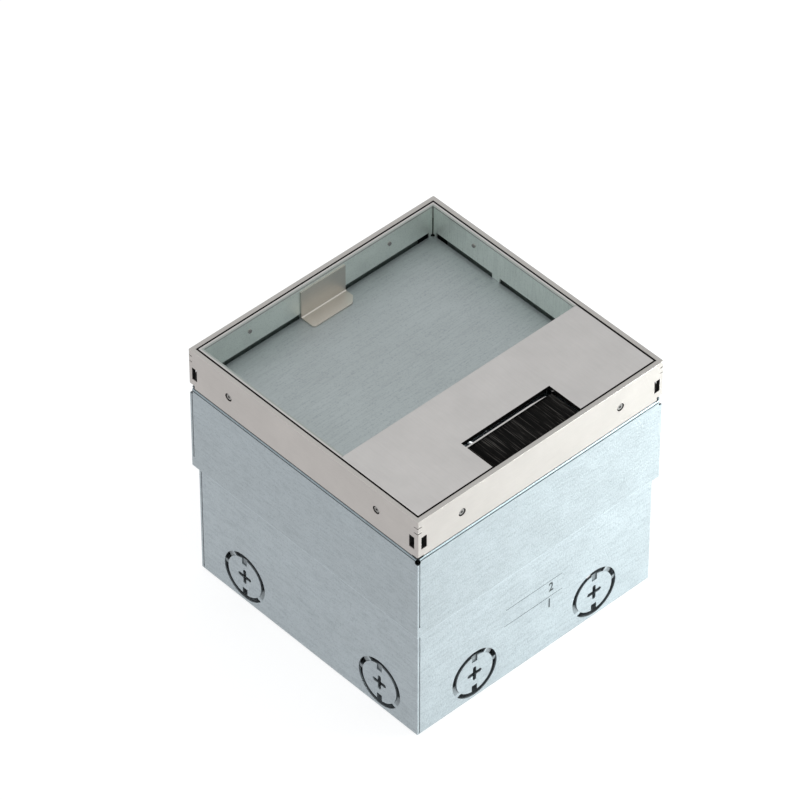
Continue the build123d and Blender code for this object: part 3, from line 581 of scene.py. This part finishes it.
def plated(name, color, roughness):
    """Plated or bare metal with a little wear."""
    material, tree, shader = new_finish(name, 1.0, roughness)
    wear = stretched_noise(tree, (1.0, 1.0, 1.0), 420.0, 4.0)
    dark = tuple(v * 0.8 for v in color)
    base = ramp(tree, wear, [(0.35, dark), (0.65, color)])
    tree.links.new(base, shader.inputs["Base Color"])
    tree.links.new(remap(tree, wear, roughness - 0.06, roughness + 0.10), shader.inputs["Roughness"])
    bump(tree, shader, wear, METAL_RELIEF)
    return material


dark_plating = plated("dark_plating", (0.34, 0.33, 0.32), 0.42)
# Dark colours on the corner connectors and the support ledge are painted shade, seen in the frame's
# windows and slots
connector_painted_shade = plated("connector_painted_shade", (0.030, 0.040, 0.039), 0.50)
ledge_painted_shade = plated("ledge_painted_shade", (0.33, 0.40, 0.385), 0.48)
zinc_plating = plated("zinc_plating", (0.60, 0.62, 0.63), 0.32)
brass_metal = plated("brass_metal", (0.72, 0.52, 0.22), 0.28)
finish_nodes(dark_plating, ["side_screws", "rim_rivets"])
finish_nodes(connector_painted_shade, ["corner_connectors"])
finish_nodes(ledge_painted_shade, ["support_ledge"])
fasteners = ["clamp_studs", "clamp_nuts", "flange_nuts", "carrier_screws", "centre_screws",
             "terminal_screws", "earth_stud", "earth_washers", "earth_nut", "cable_clamp_screws"]
for i in range(1, 5):
    fasteners += ["levelling_screw_" + str(i), "retaining_clip_" + str(i), "earth_clips_" + str(i)]
finish_nodes(zinc_plating, fasteners)
finish_nodes(brass_metal, ["socket_contacts_" + str(i) for i in range(1, 5)])

# %% Plastic and foam


def moulded(name, color, roughness, grain):
    """Plastic, foam or ink with a fine grain."""
    material, tree, shader = new_finish(name, 0.0, roughness)
    fine = stretched_noise(tree, (1.0, 1.0, 1.0), grain, 3.0)
    dark = tuple(v * 0.93 for v in color)
    tree.links.new(ramp(tree, fine, [(0.35, dark), (0.65, color)]), shader.inputs["Base Color"])
    tree.links.new(remap(tree, fine, roughness - 0.05, roughness + 0.08), shader.inputs["Roughness"])
    bump(tree, shader, fine, MOULDED_RELIEF)
    return material


white_plastic = moulded("moulded_white", (0.80, 0.80, 0.77), 0.40, 1500.0)
grey_plastic = moulded("moulded_grey", (0.17, 0.175, 0.18), 0.50, 1500.0)
# The black frame_seal strip fills the gap under the frame as painted shade; the ledge gasket is foam
foam_and_painted_shade = moulded("foam_and_painted_shade", (0.018, 0.018, 0.018), 0.90, 2600.0)
finish_nodes(white_plastic, ["socket_insert_" + str(i) for i in range(1, 5)])
finish_nodes(grey_plastic, ["terminal_block"])
finish_nodes(foam_and_painted_shade, ["ledge_gasket", "frame_seal"])

# %% [markdown]
# Bristles are black nylon, but among them some catch the light. Noise that
# changes fast across the strip and slowly along it lights single strands.

# %% Nylon
nylon, tree, shader = new_finish("nylon_bristle", 0.0, 0.42)
shader.inputs["Specular IOR Level"].default_value = 0.25
strands = stretched_noise(tree, (1500.0, 40.0, 900.0), 1.0, 2.0)
strand_colors = ramp(tree, strands, [(0.44, (0.003, 0.003, 0.003)), (0.56, (0.010, 0.009, 0.008)),
                                     (0.68, (0.11, 0.103, 0.095))])
tree.links.new(strand_colors, shader.inputs["Base Color"])
tree.links.new(remap(tree, strands, 0.36, 0.52), shader.inputs["Roughness"])
print("nylon ready")

# %% [markdown]
# ## The bristles of the cable outlet
# A strip brush closes the outlet and parts round a lead. The model holds it
# as one plain block; here every bristle is its own thin nylon thread. Each
# one starts as a small triangle, and two extrusions give it its length, with
# a lean and a sag of its own. Blender's mesh operators slow down as a mesh
# grows, so the threads are grown in small tufts that are joined at the end.

# %% Bristles
TUFT_COUNT = 44
BRISTLES_IN_TUFT = 50

# Sizes in metres: the spread of the lean, the limits of the sag, and how far
# the threads stay inside the block of the model
BRISTLE_RADIUS = 0.00017
BRISTLE_LEAN = 0.00035
BRISTLE_SAG = (-0.0004, 0.0001)
STRIP_FOOT = 0.0006
STRIP_HEAD = 0.0003
STRIP_END = 0.0005

# Shares of the full length that a bristle reaches
BRISTLE_REACH = (0.93, 0.99)

brush_low, brush_high = (Vector(corner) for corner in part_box("brush_bristles"))


def grow_tuft(bm, rng, x0, x1):
    """Upright triangles at the holder between two places, drawn out to the front."""
    length = brush_high.y - brush_low.y
    upright = Matrix.Rotation(math.pi / 2, 4, "X")
    for i in range(BRISTLES_IN_TUFT):
        x = rng.uniform(x0, x1)
        z = rng.uniform(brush_low.z + STRIP_FOOT, brush_high.z - STRIP_HEAD)
        place = Matrix.Translation((x, brush_high.y, z)) @ upright
        bmesh.ops.create_circle(bm, cap_ends=True, segments=3, radius=BRISTLE_RADIUS, matrix=place)
    faces = list(bm.faces)
    sways = [(rng.gauss(0.0, BRISTLE_LEAN), rng.uniform(*BRISTLE_SAG), rng.uniform(*BRISTLE_REACH))
             for face in faces]
    for share in (0.4, 1.0):
        faces = bmesh.ops.extrude_discrete_faces(bm, faces=faces)["faces"]
        for face, (lean, sag, reach) in zip(faces, sways):
            step = (lean * share, -length * reach / 2, sag * share)
            bmesh.ops.translate(bm, verts=list(face.verts), vec=step)
    roots = [edge for edge in bm.edges if edge.is_boundary]
    bmesh.ops.holes_fill(bm, edges=roots, sides=3)
    bmesh.ops.recalc_face_normals(bm, faces=bm.faces)


rng = random.Random(11)
bm = bmesh.new()
tuft_mesh = bpy.data.meshes.new("tuft")
strip_left = brush_low.x + STRIP_END
tuft_width = (brush_high.x - brush_low.x - 2 * STRIP_END) / TUFT_COUNT
for i in range(TUFT_COUNT):
    tuft = bmesh.new()
    grow_tuft(tuft, rng, strip_left + i * tuft_width, strip_left + (i + 1) * tuft_width)
    tuft.to_mesh(tuft_mesh)
    tuft.free()
    bm.from_mesh(tuft_mesh)
bpy.data.meshes.remove(tuft_mesh)
bristle_mesh = bpy.data.meshes.new("bristle_strip")
bm.to_mesh(bristle_mesh)
bm.free()
bristle_mesh.materials.append(nylon)
bristle_strip = bpy.data.objects.new("bristle_strip", bristle_mesh)
bpy.context.scene.collection.objects.link(bristle_strip)
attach(bristle_strip, "lid")
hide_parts("brush_bristles")
print("bristles:", TUFT_COUNT * BRISTLES_IN_TUFT, "faces:", len(bristle_mesh.polygons))

# %% [markdown]
# ## Height marks
# Two fine lines on the lower box, numbered from below, show how far down the
# sleeve may be pushed. Ink has hardly any thickness, so each stroke is a cube
# flattened to a film that stands a hair proud of the sheet. The numerals
# start as text, because a font draws them better than a hand does, and are
# made a mesh and stood against the wall.

# %% Height marks
# Each line's numeral, its height, and where it starts and ends along the wall
MARK_LINES = [("2", 0.0575, -0.0244, 0.0222), ("1", 0.0443, -0.0258, 0.0225)]
MARK_THICKNESS = 0.00035
MARK_PROUD = 0.00004
NUMERAL_HEIGHT = 0.0074
NUMERAL_PLACE = 0.0112
NUMERAL_DROP = 0.0017
NUMERAL_BOLD = 0.00022
NUMERAL_NARROWING = 0.78
FONT_SIZE = 0.01

wall_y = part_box("lower_box")[0][1]


def add_numeral(bm, text, x, z_top):
    """One numeral, flat against the wall, narrowed as engraved ones are."""
    curve = bpy.data.curves.new("numeral_" + text, "FONT")
    curve.body = text
    curve.size = FONT_SIZE
    curve.offset = NUMERAL_BOLD
    curve.resolution_u = 3
    holder = bpy.data.objects.new("numeral_" + text, curve)
    bpy.context.scene.collection.objects.link(holder)
    bpy.context.view_layer.update()
    mesh = bpy.data.meshes.new_from_object(holder)
    bpy.data.objects.remove(holder)
    before = set(bm.verts)
    bm.from_mesh(mesh)
    verts = [v for v in bm.verts if v not in before]
    low = min(v.co.y for v in verts)
    tall = max(v.co.y for v in verts) - low
    left = min(v.co.x for v in verts)
    grow = NUMERAL_HEIGHT / tall
    bmesh.ops.translate(bm, verts=verts, vec=(-left, -low - tall, 0.0))
    bmesh.ops.scale(bm, verts=verts, vec=(grow * NUMERAL_NARROWING, grow, 1.0))
    bmesh.ops.rotate(bm, verts=verts, cent=(0, 0, 0), matrix=Matrix.Rotation(math.pi / 2, 3, "X"))
    bmesh.ops.translate(bm, verts=verts, vec=(x, wall_y - MARK_PROUD, z_top))


bm = bmesh.new()
for text, z, x0, x1 in MARK_LINES:
    film = bmesh.ops.create_cube(bm, size=1.0)["verts"]
    bmesh.ops.scale(bm, verts=film, vec=(x1 - x0, MARK_PROUD, MARK_THICKNESS))
    bmesh.ops.translate(bm, verts=film, vec=((x0 + x1) / 2, wall_y - MARK_PROUD / 2, z))
    add_numeral(bm, text, NUMERAL_PLACE, z - NUMERAL_DROP)
mark_mesh = bpy.data.meshes.new("height_marks")
bm.to_mesh(mark_mesh)
bm.free()
mark_ink = moulded("mark_ink", (0.035, 0.045, 0.050), 0.6, 2000.0)
mark_mesh.materials.append(mark_ink)
marks = bpy.data.objects.new("height_marks", mark_mesh)
bpy.context.scene.collection.objects.link(marks)
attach(marks, "base")
print("mark faces:", len(mark_mesh.polygons))
